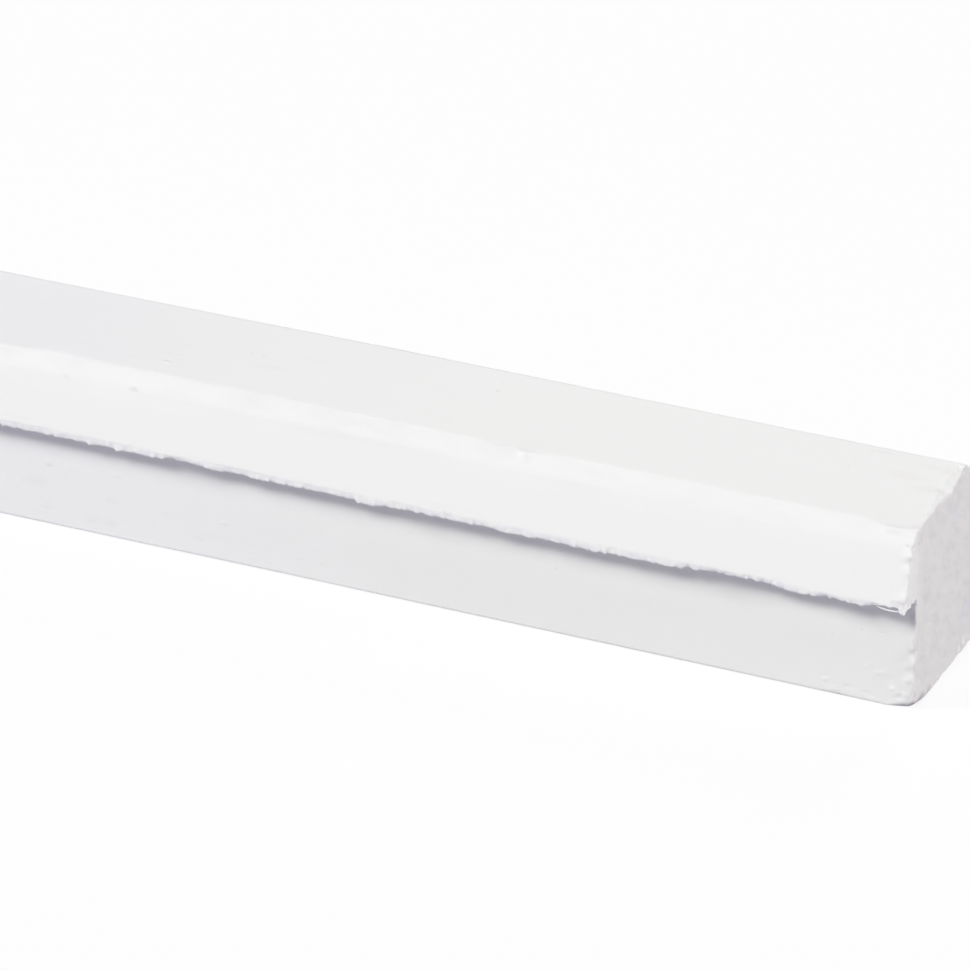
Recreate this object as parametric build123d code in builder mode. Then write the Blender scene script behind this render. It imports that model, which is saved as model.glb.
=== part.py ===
from build123d import *
from math import cos, radians, sin, tan
import os

# Timber glazing bead with a projecting nose, primed, in one machined length.
# X runs along the length, the nose faces -Y, the glass side faces +Y and the seat is at Z = 0.

# Stock
stock_length = 2400.0
section_height = 20.0
section_depth = 19.0

# Nose that hangs over the frame in front of the body
nose_overhang = 3.1
nose_underside = 11.6
nose_splay = 13.5
nose_tip_radius = 0.6
nose_root_radius = 0.3
ridge_chamfer = 1.2
ridge_softening = 0.4

# Top that sheds water to the front, and the bevel that takes the sealant at the glass
top_fall = 5.0
sealant_bevel_width = 4.0
sealant_bevel_drop = 2.8

# Arrises left by the cutters, and the fine easing of the sawn ends
arris_radius = 0.3
end_easing = 0.2

# Lines of the section across the depth
front_y = -section_depth / 2
back_y = section_depth / 2
body_front_y = front_y + nose_overhang
crest_y = back_y - sealant_bevel_width

# The sharp nose corner stands a little proud of the rounded tip that sets the overall depth
tip_lead = nose_tip_radius * ((1 + sin(radians(nose_splay))) / cos(radians(nose_splay)) - 1)
tip_y = front_y - tip_lead

# The nose face leans back at the splay and the top falls to the front: where both would meet
lean = tan(radians(nose_splay))
fall = tan(radians(top_fall))
meet_z = (section_height - fall * (crest_y - tip_y + lean * nose_underside)) / (1 - fall * lean)
meet_y = tip_y + lean * (meet_z - nose_underside)

# One closed outline, extruded both ways from the middle of the length
with BuildPart() as glazing_bead:
    with BuildSketch(Plane.YZ) as section:
        with BuildLine():
            Polyline(
                (body_front_y, 0),
                (back_y, 0),
                (back_y, section_height - sealant_bevel_drop),
                (crest_y, section_height),
                (meet_y, meet_z),
                (tip_y, nose_underside),
                (body_front_y, nose_underside),
                close=True,
            )
        make_face()

        # Broad chamfer along the ridge, where the top meets the nose face, with both its edges softened
        ridge = section.vertices().sort_by_distance((meet_y, meet_z))[0]
        chamfer(ridge, length=ridge_chamfer)
        ridge_edges = section.vertices().sort_by_distance((meet_y, meet_z))[:2]
        fillet(ridge_edges, radius=ridge_softening)

        # Rounded nose tip and the cutter's radius in the root under the nose
        tip = section.vertices().sort_by_distance((tip_y, nose_underside))[0]
        fillet(tip, radius=nose_tip_radius)
        root = section.vertices().sort_by_distance((body_front_y, nose_underside))[0]
        fillet(root, radius=nose_root_radius)

        # Fine arrises on the seat, the back and the crest
        foot = section.vertices().group_by(Axis.Y)[0]
        fillet(foot, radius=arris_radius)
        crest = section.vertices().sort_by_distance((crest_y, section_height))[0]
        heel = section.vertices().sort_by_distance((back_y, section_height - sealant_bevel_drop))[0]
        fillet([crest, heel], radius=arris_radius)
    extrude(amount=stock_length / 2, both=True)

    # Sawn ends with their edges just broken
    ends = glazing_bead.faces().filter_by(Axis.X)
    chamfer(ends.edges(), length=end_easing)

glazing_bead.part.label = "glazing_bead"

os.makedirs("parts", exist_ok=True)
export_step(glazing_bead.part, "parts/glazing_bead.step")
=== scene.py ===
import bpy
import numpy as np
from mathutils import Matrix


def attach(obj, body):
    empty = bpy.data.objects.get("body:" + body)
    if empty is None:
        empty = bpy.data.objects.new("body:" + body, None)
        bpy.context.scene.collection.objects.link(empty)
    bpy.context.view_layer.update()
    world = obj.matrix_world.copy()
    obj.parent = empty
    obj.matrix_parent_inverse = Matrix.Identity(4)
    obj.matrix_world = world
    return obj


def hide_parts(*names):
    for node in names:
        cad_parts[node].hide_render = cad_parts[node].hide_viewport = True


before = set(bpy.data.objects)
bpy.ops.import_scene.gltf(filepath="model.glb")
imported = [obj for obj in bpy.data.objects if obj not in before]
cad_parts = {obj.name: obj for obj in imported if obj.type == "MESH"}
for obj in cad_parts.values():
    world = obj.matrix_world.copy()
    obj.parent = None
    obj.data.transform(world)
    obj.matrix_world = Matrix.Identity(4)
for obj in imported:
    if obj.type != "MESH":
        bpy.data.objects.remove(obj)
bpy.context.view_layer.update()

print("frame loaded:", sorted(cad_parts))

# Sizes are in millimetres and angles in degrees. Places along the bead are counted back from the near end.
bead = {
    "length": 2400.0, "height": 20.0, "depth": 19.0,
    "overhang": 3.1, "underside": 11.6, "splay": 13.5, "chamfer": 1.2, "topFall": 5.0,
    "bevelWidth": 4.0, "bevelDrop": 2.8,
    "tipRadius": 0.6, "lipHeight": 0.55, "lipTuck": 0.10, "lipDrop": 0.185,
    "radii": {"foot": 0.08, "sole": 0.3, "heel": 0.3, "crest": 0.3, "brow": 0.35, "cheek": 2.6,
              "fringe": 0.3, "tip": 0.22, "root": 0.3},
    "around": 84,             # points round the section
    "endFineness": 4,         # how many times more of them the near end has
    "shownCrowd": 1.1, "hiddenCrowd": 0.35,
    "tipCrowd": 7, "tipCrowdReach": 0.9, "footCrowd": 3.0, "footCrowdReach": 1.8,
    "cornerCrowd": {"foot": 3, "sole": 5, "heel": 7, "crest": 7, "brow": 6, "cheek": 3,
                    "fringe": 3, "tip": 4, "root": 4},
    "cornerCrowdReach": 0.5,
    "normalReach": 0.35,      # stretch over which the normals are softened
    "fineLength": 101.0,      # the stretch beside the near end that is meshed finely
    "fineStep": 0.14, "coarseGrowth": 1.05, "longestStep": 20.0, "lastGap": 4.0,
    "heart": (-1.5, 15.0),    # the point that the end grain rings close on
    "endZone": 3.2,           # length beside each end in which its worn arris lies
    "capRings": 22, "arcRings": 8, "zoneRings": 15,
    "capCrowd": 1.5,          # above 1, the rings of the end grain crowd towards the arris
    "arris": 0.16, "arrisRough": 0.07, "arrisWaves": 0.9, "arrisLimits": (0.07, 1.5),
    "topZone": (15, 17), "topRough": 0.12, "topRoughSize": 0.9,
    "farWear": 0.3, "farCornerWear": 0.4,    # wear of the far end as a share of the near one's
    "wrap": 30, "topWrap": 35, "topWrapZone": (16.5, 18), "wrapBlur": 28,    # degrees round the arris
    "crumble": 0.07, "crumbleSize": 0.55, "crumblePull": 0.7,
    "crumbleOnCap": 0.07, "crumbleOnSide": 0.16,
    "sawn": 0.035, "sawnDepth": 0.05, "sawnSize": (1.3, 0.8), "sawnFrom": 40,
    "wornTop": ((-6.7, -3.5, -1.0, 1.0, 3.0, 4.9, 5.5), (0.0, 0.25, 0.65, 1.15, 0.8, 0.28, 0.12)),
    "wornCorner": 1.0, "wornCornerReach": 1.9, "wornCornerTop": 8,
    "waveReach": {"tip": 0.45, "fringe": 0.4, "brow": 0.7, "crest": 0.8, "foot": 0.4, "cheek": 0.8},
    "bitsAbove": 0.5, "bitsHang": 0.16, "bitsAt": (-0.1, 0.22), "bitsDown": 0.7, "lostInward": 0.35,
    "sink": 0.018,            # how far the faces lie below the solid's, as much as they swell
    "crestWave": ((0, 20, 58, 95, 140), (-0.25, -0.20, 0.0, -0.35, 0.0)),
    "footWave": ((15, 45, 66, 90, 130), (0.0, 0.07, 0.11, 0.03, 0.0)),
    "browShifts": ((93.0, 3.0, -0.45), (87.0, 2.0, 0.25), (41.5, 1.6, -0.22),
                   (38.4, 1.1, -0.50), (2.2, 1.6, -0.45)),
}

# Fine unevenness: height, length along the bead, length round it or else a row of the noise, seed, layers, fade.
unevenness = {
    "lipDrift": (0.010, 5.0, None, 0.5, 21, 3, 0.7),
    "lipBreaks": (0.025, 0.9, 0.8, None, 22, 2, 0.8),
    "lipFuzz": (0.070, 0.33, 0.4, None, 25, 2, 0.8),
    "lipBits": (1.0, 0.5, 0.4, None, 24, 2, 0.6),
    "fringe": (0.12, 2.2, None, 5.5, 23, 4, 0.8),
    "browLong": (0.06, 9.0, None, 3.5, 31, 3, 0.55),
    "browShort": (0.05, 1.6, None, 7.5, 32, 2, 0.55),
    "cheek": (0.14, 11.0, None, 9.5, 33, 3, 0.55),
    "faces": (0.018, 16.0, 4.0, None, 41, 4, 0.55),
}

# Missing or hanging bits of the nose's lower edge: from, to, height lost, ease at each side.
lipChips = [
    (82.2, 83.3, -0.12, 0.4, 0.5),
    (69.2, 75.1, 0.22, 3.4, 0.5),
    (65.6, 69.2, 0.10, 1.4, 1.4),
    (51.8, 54.9, -0.20, 1.4, 0.20),
    (36.2, 40.4, -0.09, 0.6, 1.0),
    (30.0, 34.0, -0.11, 0.6, 1.6),
    (29.25, 29.8, -0.12, 0.25, 0.3),
    (22.6, 29.0, -0.05, 0.5, 0.5),
    (11.2, 21.9, 0.22, 1.6, 0.5),
    (12.6, 19.6, 0.10, 1.0, 1.2),
    (20.0, 21.2, -0.06, 0.5, 0.5),
    (4.2, 9.6, 0.13, 0.6, 1.4),
    (5.6, 8.7, 0.08, 0.8, 0.8),
    (0.45, 4.6, 0.40, 0.35, 1.8),
    (0.45, 2.2, 0.22, 0.35, 1.6),
]

# Lumps of paint and raised grain: back, y, z, half length, half width, height.
lumps = [
    (0.20, -9.15, 12.4, 0.60, 0.70, 0.14),
    (0.70, -6.4, 3.1, 0.30, 0.22, 0.13),
    (0.45, -6.4, 2.6, 0.20, 0.15, -0.06),
    (1.95, -6.4, 1.9, 0.30, 0.17, 0.13),
    (1.55, -6.4, 1.6, 0.25, 0.16, 0.14),
    (1.60, -6.4, 1.0, 0.40, 0.15, -0.07),
    (0.85, -6.4, 1.5, 0.25, 0.18, 0.07),
    (0.45, -6.4, 1.2, 0.20, 0.16, 0.08),
    (1.07, -6.4, 5.0, 0.45, 0.25, -0.05),
    (2.56, -6.4, 2.7, 0.45, 0.16, -0.05),
    (2.90, -6.4, 3.4, 0.50, 0.17, 0.05),
]

# Bits broken from the near end's arris: y, z, half width, depth. Below 0 the bit stands out.
arrisChips = [
    (-8.0, 17.6, 0.30, 0.30), (-8.2, 16.9, 0.28, -0.24), (-8.3, 16.2, 0.28, 0.28), (-8.5, 15.5, 0.25, -0.16),
    (-6.8, 18.9, 0.35, -0.10), (0.6, 19.6, 0.35, 0.08), (-2.2, 19.4, 0.30, -0.07), (-9.2, 12.4, 0.50, 0.45),
    (-6.4, 5.9, 0.45, 0.25), (-6.4, 7.4, 0.40, -0.14), (-6.4, 4.0, 0.35, 0.16), (5.9, 0.2, 0.50, -0.20),
]

# Splinters that hang from the lip: start, end, sag and thickness. Each place is back, y, z.
splinters = [((0.30, -9.15, 11.66), (3.40, -9.10, 11.86), 0.28, 0.085)]


# Lattice noise: random heights on a square lattice, eased between neighbours, from -1 to 1.
def latticeNoise(u, v, seed):
    rows, columns = 257, 251
    table = np.random.default_rng(seed).uniform(-1, 1, (rows, columns))
    iu, iv = np.floor(u).astype(int), np.floor(v).astype(int)
    fu, fv = u - iu, v - iv
    fu, fv = fu * fu * (3 - 2 * fu), fv * fv * (3 - 2 * fv)
    row, nextRow, column, nextColumn = iu % rows, (iu + 1) % rows, iv % columns, (iv + 1) % columns
    low = table[row, column] * (1 - fu) + table[nextRow, column] * fu
    high = table[row, nextColumn] * (1 - fu) + table[nextRow, nextColumn] * fu
    return low * (1 - fv) + high * fv


# Layered noise: each layer has twice the detail of the one before, and its height times the fade.
def layeredNoise(u, v, seed, layers, fade):
    return sum(fade ** k * latticeNoise(u * 2 ** k, v * 2 ** k, seed + 17 * k) for k in range(layers))


# Eased step: nothing below low, one above high, and a smooth rise between them.
def easedStep(low, high, x):
    t = np.clip((x - low) / (high - low), 0, 1)
    return t * t * (3 - 2 * t)


# Bell: one at its middle, falling away over the given width.
def bell(x, middle, width):
    return np.exp(-((x - middle) / width) ** 2)


# Rounded corner: distances inward from three faces are drawn on to a ball of the given radius wherever
# two or more of them are short and they fall outside it.
def roundedCorner(inward, radius):
    short = np.maximum(radius - inward, 0)
    reach = np.sqrt((short ** 2).sum(0))
    drawn = radius - short * radius / np.maximum(reach, 1e-9)
    outside = (reach > radius) & ((short > 0).sum(0) > 1)
    return np.where(outside & (short > 0), drawn, inward)


# Section: straight runs joined by arcs. An arc touches both runs at radius * tan(half the corner's turn)
# from the corner, and its points turn evenly from one run's normal to the next one's. The dense outline
# is then read off at points that crowd together where it bends.
def sectionOutline(shape, around):
    lean, fall = np.tan(np.radians([shape["splay"], shape["topFall"]]))
    front, back = -shape["depth"] / 2, shape["depth"] / 2
    tilt = np.radians(shape["splay"])
    tipY = front - shape["tipRadius"] * ((1 + np.sin(tilt)) / np.cos(tilt) - 1)
    fringeY = tipY + lean * shape["lipHeight"]
    crestY = back - shape["bevelWidth"]
    meetZ = (shape["height"] - fall * (crestY - tipY + lean * shape["underside"])) / (1 - fall * lean)
    meet = np.array([tipY + lean * (meetZ - shape["underside"]), meetZ])
    alongTop = np.array([1, fall]) / np.hypot(1, fall)
    downNose = -np.array([lean, 1]) / np.hypot(1, lean)
    corners = {
        "foot": (front + shape["overhang"], 0), "sole": (back, 0),
        "heel": (back, shape["height"] - shape["bevelDrop"]), "crest": (crestY, shape["height"]),
        "brow": meet + shape["chamfer"] * alongTop, "cheek": meet + shape["chamfer"] * downNose,
        "fringe": (fringeY, shape["underside"] + shape["lipHeight"]),
        "tip": (fringeY + shape["lipTuck"], shape["underside"]),
        "root": (front + shape["overhang"], shape["underside"]),
    }
    names = list(corners)
    at = np.array([corners[n] for n in names], float)
    radius = np.array([shape["radii"][n] for n in names])
    ahead = np.roll(at, -1, 0) - at
    ahead /= np.hypot(*ahead.T)[:, None]
    behind = np.roll(ahead, 1, 0)
    turn = np.arctan2(behind[:, 0] * ahead[:, 1] - behind[:, 1] * ahead[:, 0], (behind * ahead).sum(1))
    reach = radius * np.tan(np.abs(turn) / 2)
    side = np.stack([-behind[:, 1], behind[:, 0]], 1) * np.sign(turn)[:, None]
    centre = at - behind * reach[:, None] + side * radius[:, None]
    arcPoints, runPoints, evenPoints, probe = 41, 158, 4096, 0.02
    angle = np.linspace(0, 1, arcPoints)[None] * turn[:, None]
    spoke = -side * radius[:, None]
    arcs = centre[:, None] + np.stack([
        np.cos(angle) * spoke[:, :1] - np.sin(angle) * spoke[:, 1:],
        np.sin(angle) * spoke[:, :1] + np.cos(angle) * spoke[:, 1:]], -1)
    runStart, runEnd = arcs[:, -1], np.roll(arcs[:, 0], -1, 0)
    share = np.linspace(0, 1, runPoints + 2)[1:-1][None, :, None]
    runs = runStart[:, None] * (1 - share) + runEnd[:, None] * share
    dense = np.concatenate([arcs, runs], 1).reshape(-1, 2)
    size = np.hypot(*(np.roll(dense, -1, 0) - dense).T)
    path = np.concatenate([[0], np.cumsum(size)])
    girth = path[-1]
    arcMiddle = np.arange(len(names)) * (arcPoints + runPoints) + arcPoints // 2
    cornerPath = dict(zip(names, path[arcMiddle]))

    # Points crowd at the corners, most at the tip, and spread out over the hidden sides.
    toCorner = {n: np.abs((path[:-1] - c + girth / 2) % girth - girth / 2) for n, c in cornerPath.items()}
    shown = (path[:-1] > cornerPath["crest"]) | (path[:-1] < cornerPath["foot"])
    crowd = np.where(shown, shape["shownCrowd"], shape["hiddenCrowd"])
    crowd = crowd + shape["tipCrowd"] * np.exp(-toCorner["tip"] / shape["tipCrowdReach"])
    crowd = crowd + shape["footCrowd"] * bell(toCorner["foot"], 0, shape["footCrowdReach"])
    for name, most in shape["cornerCrowd"].items():
        crowd += most * np.exp(-toCorner[name] / shape["cornerCrowdReach"])
    weight = np.concatenate([[0], np.cumsum(crowd * size)])
    pick = np.interp(np.linspace(0, weight[-1], around, endpoint=False), weight, path)
    closed = np.concatenate([dense, dense[:1]])
    points = np.stack([np.interp(pick, path, closed[:, k]) for k in (0, 1)], 1)

    # Outward normals, softened over a short stretch so that small arcs can be worn back without folding.
    even = np.linspace(0, girth, evenPoints, endpoint=False)
    tangent = np.stack([np.interp((even + probe) % girth, path, closed[:, k])
                        - np.interp((even - probe) % girth, path, closed[:, k]) for k in (0, 1)], 1)
    tangent /= np.hypot(*tangent.T)[:, None]
    spread = bell(np.fft.fftfreq(evenPoints) * girth, 0, shape["normalReach"])
    spread = np.fft.fft(spread / spread.sum())
    soft = np.real(np.fft.ifft(np.fft.fft(tangent, axis=0) * spread[:, None], axis=0))
    normal = np.stack([np.interp(pick, even, soft[:, 1]), np.interp(pick, even, -soft[:, 0])], 1)
    normal /= np.maximum(np.hypot(*normal.T), 0.75)[:, None]    # it stays shorter than one at sharp corners
    return {"points": points, "normal": normal, "run": pick, "corner": cornerPath, "girth": girth}


# Places along the bead, back from the near end: even fine steps, then steps that grow by a fixed factor.
def placesAlong(shape):
    fine = np.arange(shape["endZone"], shape["fineLength"], shape["fineStep"])
    plenty = np.arange(2000)    # more steps than are needed, and those past the far end are dropped
    steps = np.minimum(shape["fineStep"] * shape["coarseGrowth"] ** plenty, shape["longestStep"])
    coarse = fine[-1] + np.cumsum(steps)
    last = shape["length"] - shape["endZone"]
    return np.concatenate([fine, coarse[coarse < last - shape["lastGap"]], [last]])


# Wear round an end's arris at every point of the section: a rough radius, and more of it along the top.
def arrisWear(shape, section, seed, most):
    run, points = section["run"], section["points"]
    waves = layeredNoise(run * shape["arrisWaves"], run * 0 + 0.5, seed, 4, 0.6)
    rough = shape["arris"] + shape["arrisRough"] * waves
    wornTop = np.interp(points[:, 0], *shape["wornTop"]) * easedStep(*shape["topZone"], points[:, 1])
    uneven = layeredNoise(run / shape["topRoughSize"], run * 0 + 2.5, seed + 1, 3, 0.7)
    wornTop = wornTop * (1 + shape["topRough"] * uneven)
    return np.clip(rough + most * wornTop, *shape["arrisLimits"])


# Rings of one end, from its heart out over the end grain, round the worn arris and on to the end zone's inner
# edge. Each point has its depth in from the end, how far the section is drawn in there, its scale about the
# heart, how bare the wood is and how near the arris. The paint wraps further over the end along the top.
def endRings(shape, section, wear):
    flat = np.ones_like(wear)
    share = (np.arange(shape["capRings"], 0, -1)[:, None] / (shape["capRings"] + 1)) ** shape["capCrowd"]
    arc = np.radians(np.linspace(90, 0, shape["arcRings"]))[:, None]
    zone = np.linspace(0, 1, shape["zoneRings"] + 2)[1:-1, None]
    wrap = shape["wrap"] + shape["topWrap"] * easedStep(*shape["topWrapZone"], section["points"][:, 1])
    painted, bared = wrap - shape["wrapBlur"], wrap + shape["wrapBlur"]
    return {
        "back": np.concatenate([
            0 * share * flat, wear * (1 - np.sin(arc)), wear + (shape["endZone"] - wear) * zone]),
        "inset": np.concatenate([0 * share + wear, wear * (1 - np.cos(arc)), 0 * zone * flat]),
        "scale": np.concatenate([(1 - share) * flat, 0 * arc + flat, 0 * zone + flat]),
        "bare": np.concatenate([
            0 * share + flat, easedStep(painted, bared, np.degrees(arc)), 0 * zone * flat]),
        "edge": np.concatenate([
            bell(share * flat, 0, shape["crumbleOnCap"]), 0 * arc + flat,
            bell(zone * flat, 0, shape["crumbleOnSide"])]),
    }


# Every point of the given rings: the section is drawn in at the arrises, then roughened where the photo shows
# the paint or the wood rough. Depths are counted back from the near end.
def carvedRings(shape, section, rings):
    points, normal, run, girth = [section[k] for k in ("points", "normal", "run", "girth")]
    half = shape["length"] / 2
    back, scale = rings["back"], rings["scale"]
    flat, runs = 0 * back, run + 0 * back
    across = lambda name: (run - section["corner"][name] + girth / 2) % girth - girth / 2
    beside = lambda name: bell(across(name), 0, shape["waveReach"][name])

    # Layered noise of one row of the table of unevenness.
    def uneven(name):
        height, along, aside, row, seed, layers, fade = unevenness[name]
        return height * layeredNoise(back / along, runs / aside if aside else flat + row, seed, layers, fade)

    y = points[:, 0] - rings["inset"] * normal[:, 0]
    z = points[:, 1] - rings["inset"] * normal[:, 1]

    # Ragged lower edge of the nose: chips and hanging bits, over small breaks and fine fuzz.
    lost = sum(depth * easedStep(0, easeIn, back - start) * easedStep(0, easeOut, end - back)
               for start, end, depth, easeIn, easeOut in lipChips) - shape["lipDrop"]
    lost = lost + uneven("lipDrift") + uneven("lipBreaks") + uneven("lipFuzz")
    bits = np.clip(uneven("lipBits") - shape["bitsAbove"], 0, 1)
    hung = shape["bitsHang"] * bits * bell(across("tip"), *shape["bitsAt"])
    y = y + lost * shape["lostInward"] * beside("tip") - hung
    z = z + lost * beside("tip") - hung * shape["bitsDown"]
    frayed = uneven("fringe") * beside("fringe")
    y = y + frayed * np.tan(np.radians(shape["splay"]))
    z = z + frayed

    # Wavy long edges, pushed along the faces beside them, and slightly uneven faces. The seat stays flat.
    browWave = uneven("browLong") + uneven("browShort")
    browWave = browWave + sum(shift * bell(back, middle, width) for middle, width, shift in shape["browShifts"])
    y = y + browWave * beside("brow")
    y = y + np.interp(back, *shape["crestWave"]) * beside("crest")
    z = z + np.interp(back, *shape["footWave"]) * beside("foot")
    z = z + uneven("cheek") * beside("cheek")
    swell = uneven("faces") - shape["sink"]
    onSeat = points[:, 1] < 0.02
    y = y + swell * normal[:, 0]
    z = z + np.where(onSeat, 0, swell * normal[:, 1])

    # Lumps stand out from the face they lie on.
    for lumpBack, lumpY, lumpZ, halfLength, halfWidth, height in lumps:
        reach = ((back - lumpBack) / halfLength) ** 2 + ((y - lumpY) ** 2 + (z - lumpZ) ** 2) / halfWidth ** 2
        stand = height * np.exp(-reach) * (scale == 1)    # none on the end grain
        y = y + stand * normal[:, 0]
        z = z + stand * normal[:, 1]

    # The arrises of the ends crumble: chips at the near one, and fine breaks at both.
    near = back < half
    crumble = shape["crumble"] * layeredNoise(runs / shape["crumbleSize"], back / shape["crumbleSize"], 61, 3, 0.7)
    for chipY, chipZ, width, depth in arrisChips:
        crumble = crumble + near * depth * np.exp(-((y - chipY) ** 2 + (z - chipZ) ** 2) / width ** 2)
    crumble = crumble * rings["edge"]
    y = y - shape["crumblePull"] * crumble * normal[:, 0]
    z = z - shape["crumblePull"] * crumble * normal[:, 1]

    # End grain: rings draw in to the heart of the section, with a shallow sawn relief.
    heartY, heartZ = shape["heart"]
    y = heartY + (y - heartY) * scale
    z = heartZ + (z - heartZ) * scale
    acrossGrain = y / shape["sawnSize"][0] + shape["sawnFrom"]
    upGrain = z / shape["sawnSize"][1] + shape["sawnFrom"]
    sawn = shape["sawn"] * layeredNoise(acrossGrain, upGrain, 51, 3, 0.7) - shape["sawnDepth"]
    sunk = shape["crumblePull"] * crumble - sawn * easedStep(1.0, 0.93, scale)
    back = back + np.where(near, sunk, -sunk)

    # The lower front corner of each end is rubbed away on all three sides.
    for worn, turned in ((1.0, False), (shape["farCornerWear"], True)):
        depth = shape["length"] - back if turned else back
        inward = np.stack([depth, y + shape["depth"] / 2 - shape["overhang"], z])
        nearCorner = np.exp(-(inward ** 2).sum(0) / shape["wornCornerReach"] ** 2)
        radius = shape["radii"]["foot"] + shape["wornCorner"] * worn * nearCorner
        inward = np.where(z < shape["wornCornerTop"], roundedCorner(inward, radius), inward)
        back = shape["length"] - inward[0] if turned else inward[0]
        y, z = inward[1] - shape["depth"] / 2 + shape["overhang"], inward[2]
    return np.stack([half - back, y, np.maximum(z, 0)], -1)


# Splinter: a thin tube from start to end. Its middle line sags as 4 t (1 - t), and its thickness swells and
# closes as the root of sin(pi t).
def splinterSurface(shape, start, end, sag, thick):
    sides, lengthRings = 6, 11
    t = np.linspace(0.04, 0.96, lengthRings)[:, None]
    line = np.array(start) * (1 - t) + np.array(end) * t
    angle = np.linspace(0, 2 * np.pi, sides, endpoint=False)[None]
    radius = thick * np.sqrt(np.sin(np.pi * t))
    x = np.repeat(shape["length"] / 2 - line[:, :1], sides, 1)
    y = line[:, 1:2] + radius * np.cos(angle)
    z = line[:, 2:] - sag * 4 * t * (1 - t) + radius * np.sin(angle)
    return np.stack([x, y, z], -1)


# Quads between neighbouring rings of the given point numbers.
def ringQuads(rings):
    ahead = np.roll(rings, -1, 1)
    return np.stack([rings[:-1], ahead[:-1], ahead[1:], rings[1:]], -1).reshape(-1, 4)


# Triangles from a ring to its pole; the last ring of a tube is closed the other way round.
def poleFan(ring, pole, last):
    pair = (ring, np.roll(ring, -1)) if last else (np.roll(ring, -1), ring)
    return np.stack([np.full(len(ring), pole), *pair], 1)


# Triangles from a fine ring to a coarse one that has every so-manyth of its points.
def joinRings(fine, coarse):
    many = len(fine) // len(coarse)
    step = [np.roll(fine, -m)[::many] for m in range(many + 1)]
    ahead, middle = np.roll(coarse, -1), many // 2
    some = [np.stack([step[m], step[m + 1], coarse if m < middle else ahead], 1) for m in range(many)]
    return np.concatenate(some + [np.stack([step[middle], ahead, coarse], 1)])


# The bead: rings of the near end on a fine section and of all the rest on a plain one, joined into one closed
# mesh, with the splinters as thin closed tubes whose ends lie in the lip.
def buildBead(shape):
    fine = sectionOutline(shape, shape["around"] * shape["endFineness"])
    plain = sectionOutline(shape, shape["around"])
    nearRings = endRings(shape, fine, arrisWear(shape, fine, 5, 1.0))
    farRings = endRings(shape, plain, arrisWear(shape, plain, 9, shape["farWear"]))
    farRings = {k: v[::-1] for k, v in farRings.items()}
    farRings["back"] = shape["length"] - farRings["back"]
    places = np.repeat(placesAlong(shape)[:, None], shape["around"], 1)
    middle = {"back": places, "inset": 0 * places, "scale": 0 * places + 1, "bare": 0 * places, "edge": 0 * places}
    restRings = {k: np.concatenate([middle[k], farRings[k]]) for k in middle}

    surfaces = [carvedRings(shape, fine, nearRings), carvedRings(shape, plain, restRings)]
    surfaces += [splinterSurface(shape, *s) for s in splinters]
    splinterBare = 0.6
    bares = [nearRings["bare"], restRings["bare"]] + [np.full(s.shape[:2], splinterBare) for s in surfaces[2:]]
    starts = np.concatenate([[0], np.cumsum([b.size for b in bares])])
    numbers = [start + np.arange(b.size).reshape(b.shape) for start, b in zip(starts, bares)]

    # Poles close the tubes: one at the heart of each end of the bead, and two for each splinter.
    closing = [(0, 0), (1, -1)] + [(n, side) for n in range(2, len(surfaces)) for side in (0, -1)]
    poles = np.array([surfaces[n][side].mean(0) for n, side in closing])
    poles[:2, 1:] = shape["heart"]
    fans = [poleFan(numbers[n][side], starts[-1] + k, side == -1) for k, (n, side) in enumerate(closing)]
    vertices = np.concatenate([s.reshape(-1, 3) for s in surfaces] + [poles]) * 0.001
    grains = np.concatenate([b.ravel() for b in bares] + [[bares[n][side, 0] for n, side in closing]])
    quads = np.concatenate([ringQuads(n) for n in numbers])
    triangles = np.concatenate(fans + [joinRings(numbers[0][-1], numbers[1][0])])
    corners = np.concatenate([quads.ravel(), triangles.ravel()])
    sizes = np.concatenate([np.full(len(quads), 4), np.full(len(triangles), 3)])

    mesh = bpy.data.meshes.new("glazingBead")
    mesh.vertices.add(len(vertices))
    mesh.vertices.foreach_set("co", vertices.astype(np.float32).ravel())
    mesh.loops.add(len(corners))
    mesh.loops.foreach_set("vertex_index", corners.astype(np.int32))
    mesh.polygons.add(len(sizes))
    mesh.polygons.foreach_set("loop_start", np.concatenate([[0], np.cumsum(sizes)[:-1]]).astype(np.int32))
    mesh.polygons.foreach_set("loop_total", sizes.astype(np.int32))
    mesh.polygons.foreach_set("use_smooth", np.ones(len(sizes), bool))
    mesh.update(calc_edges=True)
    mesh.validate()

    # How much of each point is sawn end grain, for the paint: all of the cap, fading over its arris.
    endGrain = mesh.attributes.new("endGrain", "FLOAT", "POINT")
    endGrain.data.foreach_set("value", grains.astype(np.float32))
    piece = bpy.data.objects.new("glazingBead", mesh)
    bpy.context.collection.objects.link(piece)
    print("bead:", len(vertices), "points,", 2 * len(quads) + len(triangles), "triangles")
    return piece


beadPiece = buildBead(bead)
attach(beadPiece, "root")
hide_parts("glazing_bead")


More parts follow.
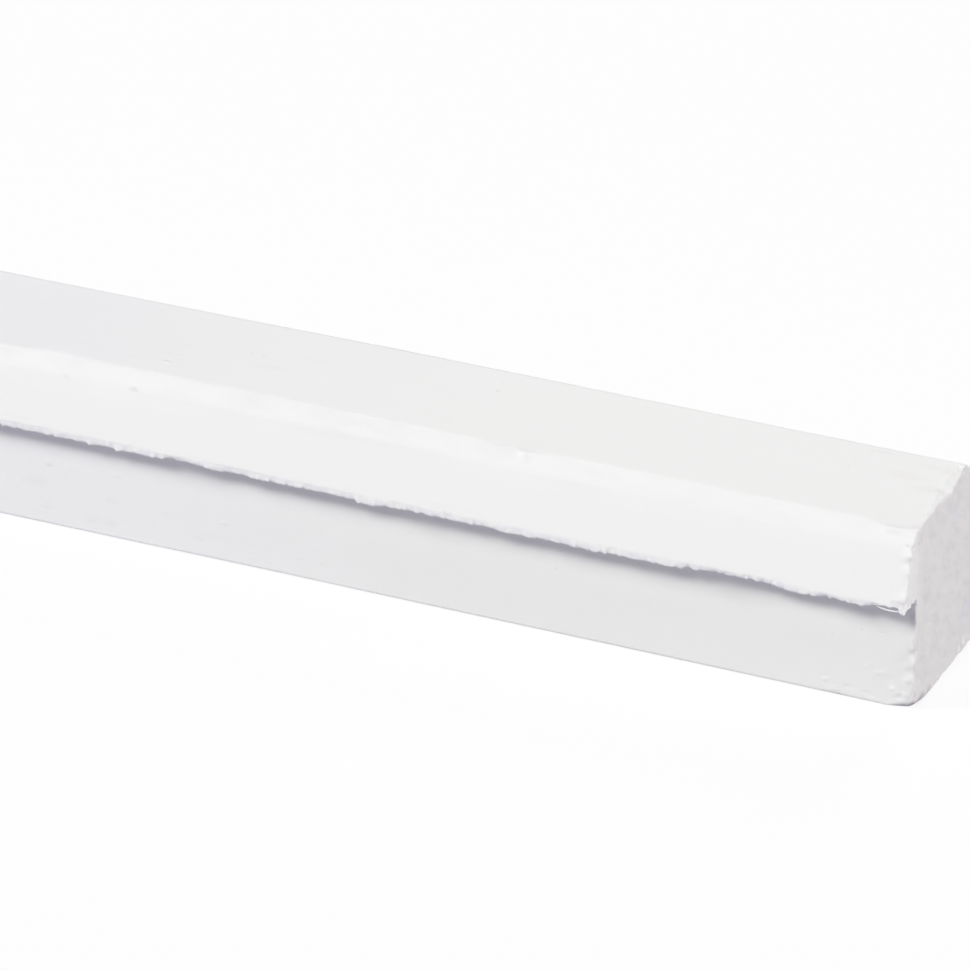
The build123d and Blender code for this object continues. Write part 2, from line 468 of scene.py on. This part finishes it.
# A shader socket that can be written in sums: operators add Math nodes, and node() adds any other kind.
class Wire:
    def __init__(self, tree, socket=None):
        self.tree, self.socket = tree, socket

    def node(self, kind, settings=None, sockets=None, out=0):
        made = self.tree.nodes.new(kind)
        for name, value in (settings or {}).items():
            setattr(made, name, value)
        for key, value in (sockets or {}).items():
            if isinstance(value, Wire):
                self.tree.links.new(value.socket, made.inputs[key])
            else:
                made.inputs[key].default_value = value
        return Wire(self.tree, made.outputs[out] if made.outputs else None)

    def maths(self, operation, left, right):
        return self.node("ShaderNodeMath", {"operation": operation}, {0: left, 1: right})

    def __add__(self, other):
        return self.maths("ADD", self, other)

    def __sub__(self, other):
        return self.maths("SUBTRACT", self, other)

    def __rsub__(self, other):
        return self.maths("SUBTRACT", other, self)

    def __mul__(self, other):
        return self.maths("MULTIPLY", self, other)

    __radd__ = __add__
    __rmul__ = __mul__

    # from low to high the result climbs smoothly from 0 to 1, or falls when low is above high
    def ramp(self, low, high):
        return self.node("ShaderNodeMapRange", {"interpolation_type": "SMOOTHSTEP"},
                         {"Value": self, "From Min": low, "From Max": high})

    # this value's place between two colours
    def tint(self, low, high):
        return self.node("ShaderNodeMix", {"data_type": "RGBA"}, {"Factor": self, 6: low, 7: high}, 2)

    # this place with each axis scaled
    def scaled(self, factors):
        return self.node("ShaderNodeVectorMath", {"operation": "MULTIPLY"}, {0: self, 1: factors})

    # noise about 0 of so many waves per metre along each axis, read at this place
    def noise(self, waves, detail=2.0):
        sockets = {"Vector": self.scaled(waves), "Scale": 1.0, "Detail": detail}
        return self.node("ShaderNodeTexNoise", None, sockets) - 0.5

    # this place pushed about by noise, so that what is drawn there gets a ragged outline
    def stirred(self, waves, reach):
        push = self.node("ShaderNodeTexNoise", None, {"Vector": self.scaled(waves), "Scale": 1.0}, 1)
        push = self.node("ShaderNodeVectorMath", {"operation": "SUBTRACT"}, {0: push, 1: (0.5, 0.5, 0.5)})
        return self.node("ShaderNodeVectorMath", {"operation": "ADD"}, {0: self, 1: push.scaled((reach,) * 3)})

    # one at a point given in millimetres, falling to 0 at the given distance from it
    def spot(self, point, reach):
        away = self.node("ShaderNodeVectorMath", {"operation": "DISTANCE"},
                         {0: self, 1: [0.001 * c for c in point]}, 1)
        return away.ramp(0.001 * reach, 0.0002 * reach)


# Spots are given as back, y, z, reach and strength. A finish's edge is given as where it starts and where it is
# full, in millimetres on the bead's own axes: along it, across it or up it. Relief is in millimetres.
primer = {
    # The whites of the nose, ridge and lower front, and the far white of the top, are lit and shaded copies of one
    # primer: painted shade and light tint.
    "white": (0.900, 0.900, 0.885, 1), "noseLitWhite": (0.899, 0.899, 0.872, 1),
    "ridgeShadedWhite": (0.857, 0.857, 0.847, 1), "farShadedWhite": (0.868, 0.868, 0.874, 1),
    "frontShadedWhite": (0.859, 0.860, 0.825, 1), "frontShadedCool": (0.884, 0.882, 0.868, 1),
    "smear": (0.80, 0.79, 0.79, 1), "lip": (0.845, 0.84, 0.855, 1),
    "bare": (0.80, 0.777, 0.752, 1), "bareCool": (0.77, 0.755, 0.785, 1), "bareDark": (0.69, 0.666, 0.649, 1),
    # The dark colour serves real specks and painted shade along the crest and under the near end's lower corner.
    "stain": (0.86, 0.82, 0.80, 1), "grimeAndShade": (0.45, 0.44, 0.45, 1),
    "roughness": 0.62, "specular": 0.3, "nearEnd": 1200.0,
    "coolAlong": (1160, 1105), "noseAcross": (-6.6, -6.9), "noseUp": (17.7, 16.3),
    "ridgeAcross": (-6.5, -6.8), "ridgeUp": (16.8, 18.0),
    "frontAcross": (-5.0, -6.0), "frontUp": (11.6, 11.2),
    "crestAcross": (5.30, 5.50), "crestUp": (19.0, 19.5), "crestStart": (1114, 1128), "crestEnd": (1165, 1148),
    "lipAcross": (-6.6, -8.0), "lipUp": (12.4, 11.9),
    "seamAlong": (1180, 1125), "seamUp": (11.95, 12.05), "seamTop": (12.22, 12.10),
    "noseEndAcross": (-5.2, -7.2), "noseEndUp": (11.0, 11.5),
    "streakShade": 0.10, "cloudShade": 0.06, "smearShade": 0.35, "dulledShade": 1.3,
    # The crest line's strength sets painted shade.
    "crestShade": 0.35, "seamShade": 0.75, "noseEndPaint": 0.6, "grainLean": 0.5,
    "pimples": 330.0, "pimpleSize": (0.0885, 0.03), "pimpleHeight": 0.010,
    "nibHeight": 0.035, "streakHeight": 0.006, "grainHeight": 0.03,
    "nibLength": 2.0, "ragWaves": (1500, 1500, 1500), "ragReach": 0.00028,
    "nibs": [(70.2, -6.4, 4.2, 0.35, 1.0), (67.0, -6.4, 1.2, 0.3, 1.0), (62.5, -6.4, 2.2, 0.3, 1.0),
             (60.0, -6.4, 2.2, 0.3, 1.0), (81.9, -6.4, 6.9, 0.3, 1.0), (80.5, -4.0, 19.2, 0.4, 1.5),
             (80.6, -4.9, 19.1, 0.3, 1.0), (77.0, -4.5, 19.1, 0.4, 1.5), (78.2, -6.0, 19.0, 0.3, 1.0),
             (4.75, -6.4, 3.6, 0.40, 1.0), (3.6, -6.4, 3.3, 0.45, 1.0), (8.4, -6.4, 1.3, 0.45, 1.6),
             (8.0, -6.4, 0.7, 0.50, 1.8), (7.3, -6.4, 0.5, 0.40, 1.4), (6.3, -6.4, 1.1, 0.40, -1.3),
             (4.4, -6.4, 0.8, 0.45, -1.1), (3.3, -6.4, 7.4, 0.25, -1.0)],
    "specks": [(85.9, -8.1, 17.4, 0.30, 0.10), (83.6, -8.1, 17.6, 0.25, 0.06), (78.7, -8.1, 17.5, 0.35, 0.22),
               (89.0, -6.4, 6.5, 0.30, 0.16)],
    # The first dull spot, on the nose's near lower corner, is partly painted shade and partly thin paint.
    "dulled": [(0.6, -9.3, 12.5, 0.60, 1.50), (82.2, -6.4, 4.1, 0.70, 0.40), (84.7, -6.4, 1.6, 0.70, 0.35),
               (82.6, -6.4, 1.5, 0.80, 0.30), (89.0, -6.4, 1.9, 0.80, 0.40), (86.5, -6.4, 6.4, 0.50, 0.35),
               (76.1, -6.4, 3.8, 0.60, 0.30), (73.0, -6.4, 1.8, 0.70, 0.35), (90.6, -6.4, 4.5, 0.90, 0.30),
               (57.0, -6.4, 3.2, 0.70, 0.25), (54.4, -6.4, 5.3, 0.60, 0.20), (51.3, -6.4, 2.8, 0.80, 0.25)],
    "stains": [(4.5, 1.5, 19.65, 1.1, 0.3), (1.9, -0.2, 19.5, 0.9, 0.25), (0.0, 3.3, 19.6, 1.0, 0.5),
               (0.3, -6.7, 18.9, 0.6, 0.6), (0.1, 0.6, 18.6, 0.6, 0.5), (0.0, -6.3, 8.6, 0.45, 0.7)],
    # Mostly painted shade: the dark under the near end's lower corner and along its bottom edge; the two on the
    # nose's end are real dark bits.
    "shadeAndSoil": [(0.9, -5.9, 0.1, 1.0, 0.8), (0.4, -5.2, 0.1, 1.1, 0.9), (0.1, -4.2, 0.1, 1.1, 0.7),
             (0.0, -2.6, 0.1, 1.0, 0.5), (0.0, -6.3, 17.3, 0.45, 0.24), (0.0, -6.1, 16.5, 0.25, 0.22),
             (8.8, -6.4, 0.0, 0.35, 0.3), (7.8, -6.4, 0.0, 0.45, 0.3), (6.8, -6.4, 0.0, 0.35, 0.2)],
    "flecks": [(0.0, 5.5, 0.8, 0.8, 1.0), (0.0, 6.5, 0.9, 0.8, 1.0), (0.0, 7.4, 1.0, 0.5, 0.8)],
    "lilac": [(0.0, 1.6, 17.4, 1.3, 0.8), (0.0, 3.0, 15.6, 1.4, 0.6), (0.0, 6.9, 3.6, 2.6, 0.7)],
}


# Primed timber: paint that is tinted by place, with painted shade and light tint on some faces and edges, and
# dulled in spots, laid over mottled wood wherever the end grain isn't bare, with its relief as a bump.
def primedTimber(look):
    material = bpy.data.materials.new("primedTimber")
    material.use_nodes = True
    tree = material.node_tree
    tree.nodes.clear()
    wire = Wire(tree)
    place = wire.node("ShaderNodeTexCoord", out=3)
    endGrain = wire.node("ShaderNodeAttribute", {"attribute_name": "endGrain"}, out=2)
    axes = wire.node("ShaderNodeSeparateXYZ", None, {0: place})
    lengthAxis, depthAxis, heightAxis = [Wire(tree, axes.socket.node.outputs[n]) * 1000 for n in ("X", "Y", "Z")]

    # Spots are longer along the grain, and ragged.
    squeezed = place.stirred(look["ragWaves"], look["ragReach"]).scaled((1 / look["nibLength"], 1, 1))
    spots = lambda kind: sum(squeezed.spot(((look["nearEnd"] - back) / look["nibLength"], y, z), reach) * strength
                             for back, y, z, reach, strength in look[kind])

    # Paint: a lit copy of the white on the nose, a darker shaded copy on the ridge, and a white that is darker and
    # bluer away from the near end, all painted shade and light tint; the ridge also has random brushed blotches.
    away = (lengthAxis + place.noise((25, 60, 60)) * 60).ramp(*look["coolAlong"])
    paint = away.tint(look["white"], look["farShadedWhite"])
    nose = heightAxis.ramp(*look["noseUp"]).tint(look["ridgeShadedWhite"], look["noseLitWhite"])
    paint = depthAxis.ramp(*look["noseAcross"]).tint(paint, nose)
    onRidge = depthAxis.ramp(*look["ridgeAcross"]) * heightAxis.ramp(*look["ridgeUp"])
    brushed = 0.2 + place.noise((220, 500, 700), 4.0) * 1.2 + place.noise((60, 200, 300)) * 0.5
    paint = (onRidge * brushed.ramp(0.0, 1.0)).tint(paint, look["smear"])
    # The lower front has its own shaded copies of the white, painted shade: darker and warmer near the end,
    # lighter away from it.
    front = away.tint(look["frontShadedWhite"], look["frontShadedCool"])
    paint = (heightAxis.ramp(*look["frontUp"]) * depthAxis.ramp(*look["frontAcross"])).tint(paint, front)

    # Faint lengthwise streaks, and short smears and dull spots in some places; the grey spot on the nose's near
    # lower corner is partly painted shade and partly thin paint.
    streaks = place.noise((30, 1500, 1500), 3.0)
    smears = place.noise((110, 1000, 1000)).ramp(0.08, 0.22) * place.noise((20, 50, 50)).ramp(0.0, 0.12)
    rubbed = spots("dulled") * place.noise((200, 1200, 1200), 3.0).ramp(-0.15, 0.10) * look["dulledShade"]
    clouds = place.noise((300, 300, 300), 3.0)
    shade = streaks * look["streakShade"] + clouds * look["cloudShade"] + smears * look["smearShade"] + rubbed
    paint = shade.ramp(0.0, 1.0).tint(paint, look["smear"])

    # A painted shade line along part of the crest, a ragged darker lilac band at the lip, and a seam just above
    # it.
    crest = (depthAxis + place.noise((80, 80, 80)) * 0.4).ramp(*look["crestAcross"])
    crest = crest * heightAxis.ramp(*look["crestUp"])
    crest = crest * lengthAxis.ramp(*look["crestStart"]) * lengthAxis.ramp(*look["crestEnd"])
    paint = (crest * look["crestShade"]).tint(paint, look["grimeAndShade"])
    onLip = depthAxis.ramp(*look["lipAcross"])
    atLip = (heightAxis + place.noise((500, 500, 500)) * 0.8).ramp(*look["lipUp"]) * onLip
    paint = (atLip * place.noise((900, 1500, 1500), 3.0).ramp(-0.12, 0.10)).tint(paint, look["lip"])
    seam = heightAxis + place.noise((250, 250, 250), 3.0) * 0.5
    seam = seam.ramp(*look["seamUp"]) * seam.ramp(*look["seamTop"]) * lengthAxis.ramp(*look["seamAlong"]) * onLip
    broken = place.noise((300, 300, 300)).ramp(-0.15, 0.05)
    paint = (seam * broken * look["seamShade"]).tint(paint, look["smear"])

    # Bare end: mottled, with its grain leaning, and with cooler areas; the nose's end has kept more paint.
    leaning = wire.node("ShaderNodeCombineXYZ", None, {
        0: lengthAxis * 0.001, 1: depthAxis * 0.001,
        2: heightAxis * 0.001 + depthAxis * (0.001 * look["grainLean"])})
    mottle = leaning.noise((900, 420, 750), 5.0)
    bare = spots("lilac").tint(look["bare"], look["bareCool"])
    bare = (0.25 + mottle * 1.8).ramp(0.0, 1.0).tint(bare, look["bareDark"])
    onNose = (depthAxis + place.noise((300, 500, 600), 4.0) * 3.5).ramp(*look["noseEndAcross"])
    onNose = onNose * heightAxis.ramp(*look["noseEndUp"])
    uncovered = (endGrain + place.noise((1300, 1300, 1300), 3.0) * 2.0).ramp(0.35, 0.75)
    uncovered = uncovered * (1 - onNose * look["noseEndPaint"])
    uncovered = uncovered * (1 - spots("flecks") * place.noise((1600, 1600, 1600), 3.0).ramp(-0.05, 0.10))
    colour = uncovered.tint(paint, bare)
    colour = spots("stains").tint(colour, look["stain"])
    # Dark specks are real marks; the other spots here are mostly painted shade under the near end's lower corner
    # and along its bottom edge.
    colour = (spots("specks") + spots("shadeAndSoil")).tint(colour, look["grimeAndShade"])

    # Relief: pimples and nibs in the paint, streaks, and a rougher sawn end.
    cells = wire.node("ShaderNodeTexVoronoi", None, {"Vector": squeezed, "Scale": look["pimples"]})
    ragged = 0.6 + place.noise((900, 2000, 2000), 3.0) * 2.5
    relief = cells.ramp(*look["pimpleSize"]) * look["pimpleHeight"] + spots("nibs") * ragged * look["nibHeight"]
    relief = relief + streaks * look["streakHeight"] + endGrain * mottle * look["grainHeight"]
    bump = wire.node("ShaderNodeBump", None, {"Height": relief, "Distance": 0.001, "Strength": 1.0})
    surface = wire.node("ShaderNodeBsdfPrincipled", None, {
        "Base Color": colour, "Roughness": look["roughness"], "Specular IOR Level": look["specular"],
        "Normal": bump})
    wire.node("ShaderNodeOutputMaterial", None, {"Surface": surface})
    return material


beadPiece.data.materials.append(primedTimber(primer))
print("paint done")

# Lamps are given as name, strength, turn to the left of the front, lift above the floor, spread in degrees.
studio = {
    "sky": 0.17, "skyTint": (0.97, 0.93, 1.20, 1), "lampTint": (0.993, 1.0, 0.957),
    "lamps": [
        ("frontLamp", 1.32, 0.0, 41.7, 11.5),
        ("leftLamp", 1.82, 60.0, 28.4, 11.0),
        ("rightLamp", 1.72, -95.0, 12.0, 10.0),
        ("backLamp", 0.40, 180.0, 40.0, 20.0),
    ],
    "floor": (0.525, 0.515, 0.60, 1), "floorShade": 0.15, "floorReach": 60.0,
    "white": (1, 1, 1, 1),
}


# A lamp far away that shines from the given turn, left of the front, and lift above the floor.
def softSun(tint, name, strength, turn, lift, spread):
    data = bpy.data.lights.new(name, "SUN")
    data.energy, data.angle, data.color = strength, np.radians(spread), tint
    lamp = bpy.data.objects.new(name, data)
    turn, lift = np.radians(turn), np.radians(lift)
    lamp.matrix_world = Matrix.Rotation(-turn, 4, "Z") @ Matrix.Rotation(np.pi / 2 - lift, 4, "X")
    bpy.context.collection.objects.link(lamp)


# One for the rays that show a thing itself, in a picture, a reflection or through glass; 0 for its light.
def shownRays(wire):
    ray = wire.node("ShaderNodeLightPath").socket.node
    camera, glossy, through = [
        Wire(wire.tree, ray.outputs[n]) for n in ("Is Camera Ray", "Is Glossy Ray", "Is Transmission Ray")]
    return camera + glossy + through


# The studio: a faint sky and four lamps, and a floor that shows white but for a share of its shading.
def buildStudio(light):
    world = bpy.data.worlds.new("studioSky")
    bpy.context.scene.world = world
    world.use_nodes = True
    tree = world.node_tree
    tree.nodes.clear()
    wire = Wire(tree)
    glow = wire.node("ShaderNodeBackground", None, {"Color": light["skyTint"], "Strength": light["sky"]})
    white = wire.node("ShaderNodeBackground", None, {"Color": light["white"], "Strength": 1.0})
    shown = wire.node("ShaderNodeMixShader", None, {0: shownRays(wire), 1: glow, 2: white})
    wire.node("ShaderNodeOutputWorld", None, {"Surface": shown})
    for lamp in light["lamps"]:
        softSun(light["lampTint"], *lamp)

    reach = light["floorReach"]
    corners = [(-reach, -reach, 0), (reach, -reach, 0), (reach, reach, 0), (-reach, reach, 0)]
    mesh = bpy.data.meshes.new("floor")
    mesh.from_pydata(corners, [], [(0, 1, 2, 3)])
    floor = bpy.data.objects.new("floor", mesh)
    bpy.context.collection.objects.link(floor)
    material = bpy.data.materials.new("floorPaper")
    material.use_nodes = True
    tree = material.node_tree
    tree.nodes.clear()
    wire = Wire(tree)
    seen = shownRays(wire)
    paper = wire.node("ShaderNodeBsdfDiffuse", None, {"Color": seen.tint(light["floor"], light["white"])})
    bright = wire.node("ShaderNodeEmission", None, {"Color": light["white"], "Strength": 1.0})
    shown = wire.node("ShaderNodeMixShader", None, {0: seen * (1 - light["floorShade"]), 1: paper, 2: bright})
    wire.node("ShaderNodeOutputMaterial", None, {"Surface": shown})
    floor.data.materials.append(material)


buildStudio(studio)
print("light and floor done")

# The camera looks at the near end from the right and above. The mark is a point of the ridge at that end,
# and markPixel is where it falls in a picture of 970 by 971.
view = {
    "turn": 24.35, "lift": 27.38, "focalPixels": 6451.0, "pixelsPerMm": 11.095,
    "mark": (1200.0, -6.7, 18.93), "markPixel": (918.5, 529.7), "picture": (970, 971),
    "sensor": 36.0, "clip": (0.02, 100.0),
}


# The camera stands where the mark falls on its pixel: back along the view by the focal length over the
# scale, and aside by the pixel's distance from the picture's middle over the scale.
def placeCamera(shot):
    turn, lift = np.radians([shot["turn"], shot["lift"]])
    right = np.array([np.cos(turn), np.sin(turn), 0])
    ahead = np.array([-np.sin(turn) * np.cos(lift), np.cos(turn) * np.cos(lift), -np.sin(lift)])
    up = np.cross(right, ahead)
    aside = (shot["markPixel"][0] - shot["picture"][0] / 2) / shot["pixelsPerMm"]
    down = (shot["markPixel"][1] - shot["picture"][1] / 2) / shot["pixelsPerMm"]
    distance = shot["focalPixels"] / shot["pixelsPerMm"]
    stand = (np.array(shot["mark"]) - aside * right + down * up - distance * ahead) * 0.001
    data = bpy.data.cameras.new("camera")
    data.sensor_width = shot["sensor"]
    data.lens = shot["sensor"] * shot["focalPixels"] / max(shot["picture"])
    data.clip_start, data.clip_end = shot["clip"]
    camera = bpy.data.objects.new("camera", data)
    camera.matrix_world = Matrix([[right[k], up[k], -ahead[k], stand[k]] for k in range(3)] + [[0, 0, 0, 1]])
    bpy.context.collection.objects.link(camera)
    bpy.context.scene.camera = camera


placeCamera(view)
bpy.context.scene.view_settings.view_transform = "Standard"
print("camera done")
